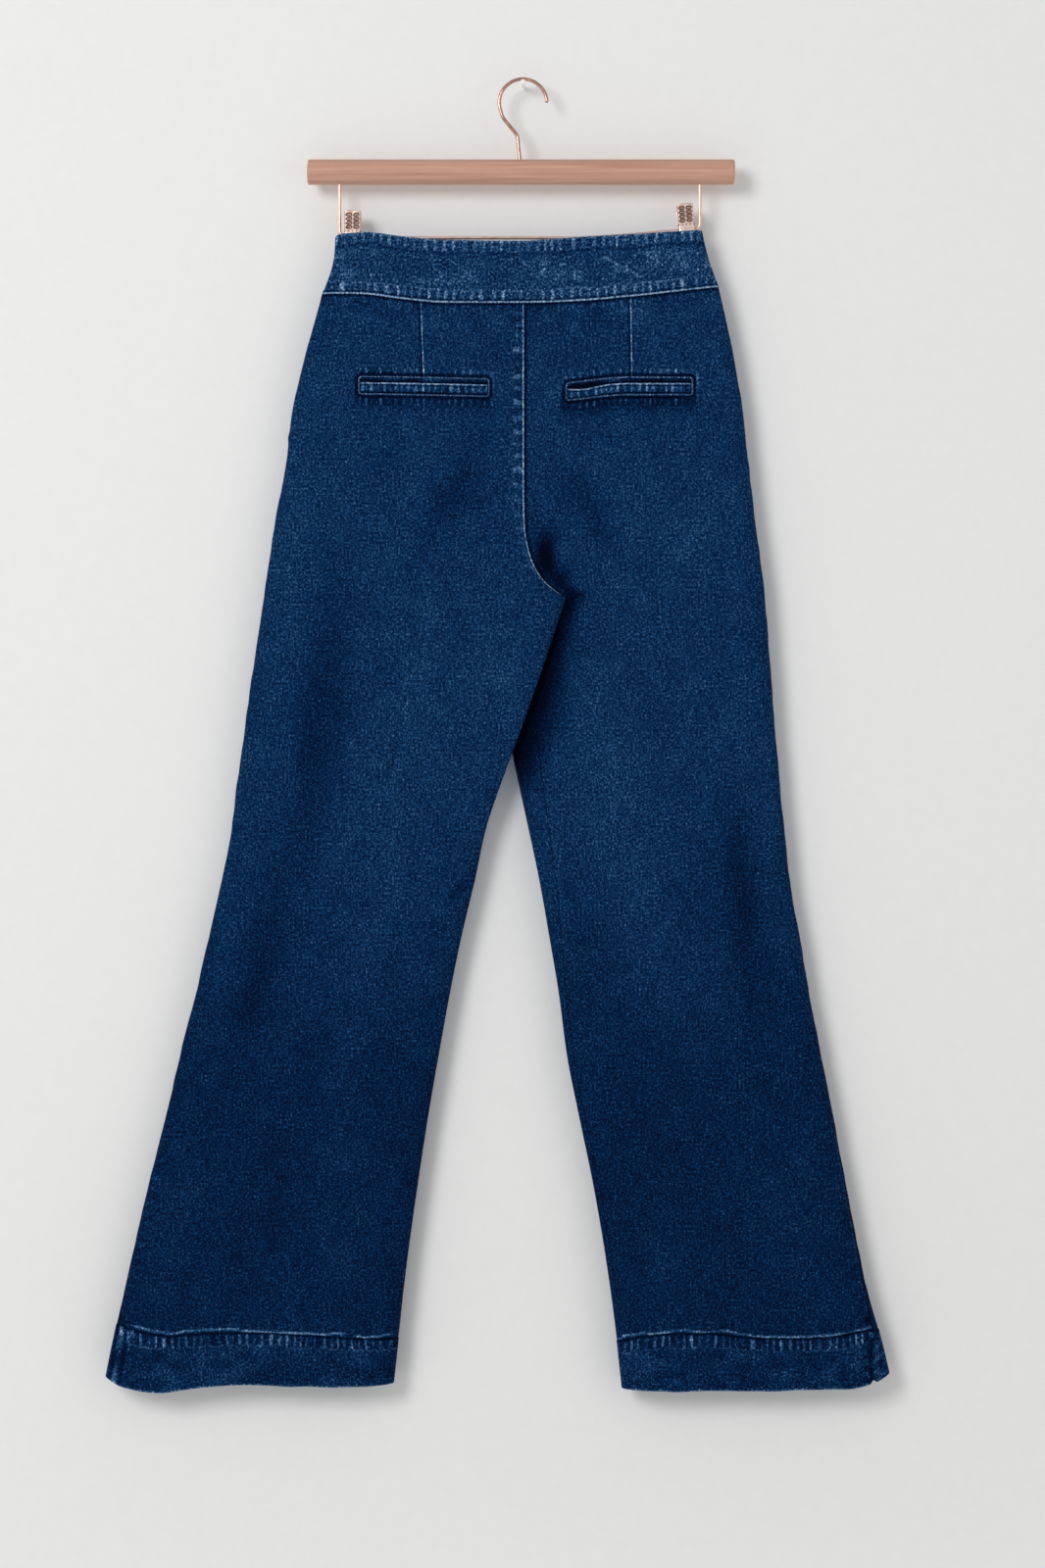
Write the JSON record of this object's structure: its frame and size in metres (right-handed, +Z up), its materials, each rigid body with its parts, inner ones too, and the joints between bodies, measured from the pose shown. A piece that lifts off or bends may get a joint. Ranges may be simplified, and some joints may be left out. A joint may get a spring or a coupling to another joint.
{
  "type": "wide-leg jeans on a clip hanger",
  "caption": "High-waisted wide-leg denim jeans hanging flat, back to the viewer, from a wooden bar hanger with a wire hook and clips.",
  "frame": {"origin": "underside of the hook's crown, where the hanger bears on a rod or wall hook", "axes": "+Z up, +X to the right of someone facing the back of the jeans, -Y out of the jeans' back towards them"},
  "size_m": [0.734, 0.0353, 1.2289],
  "materials": {
    "denim_back": "washed indigo denim, fine slubbed twill, soft pale fleck",
    "denim_front": "washed indigo denim, fine slubbed twill, soft pale fleck",
    "denim_waistband": "two layers of washed indigo denim with faded, puckered edges",
    "denim_hem": "two layers of indigo denim with a faded, puckered seam",
    "denim_welt": "folded denim welt with worn, paler edges",
    "beech": "turned pinkish beech with a satin varnish",
    "rose_gold_wire": "polished rose-gold plated steel wire",
    "rose_gold_plate": "pressed steel sheet with rose-gold plating"
  },
  "bodies": {
    "root": {"back_left": "denim_back", "back_right": "denim_back", "front_left": "denim_front", "front_right": "denim_front", "waistband_back": "denim_waistband", "waistband_front": "denim_waistband", "hem_band_back_left": "denim_hem", "hem_band_front_left": "denim_hem", "hem_band_back_right": "denim_hem", "hem_band_front_right": "denim_hem", "pocket_lip_left": "denim_welt", "pocket_welt_left": "denim_welt", "pocket_lip_right": "denim_welt", "pocket_welt_right": "denim_welt", "hanger_bar": "beech", "hanger_hook": "rose_gold_wire", "hanger_frame": "rose_gold_wire", "clip_plate_outer_left": "rose_gold_plate", "clip_plate_inner_left": "rose_gold_plate", "clip_spring_left": "rose_gold_wire", "clip_plate_outer_right": "rose_gold_plate", "clip_plate_inner_right": "rose_gold_plate", "clip_spring_right": "rose_gold_wire"}
  },
  "joints": []
}
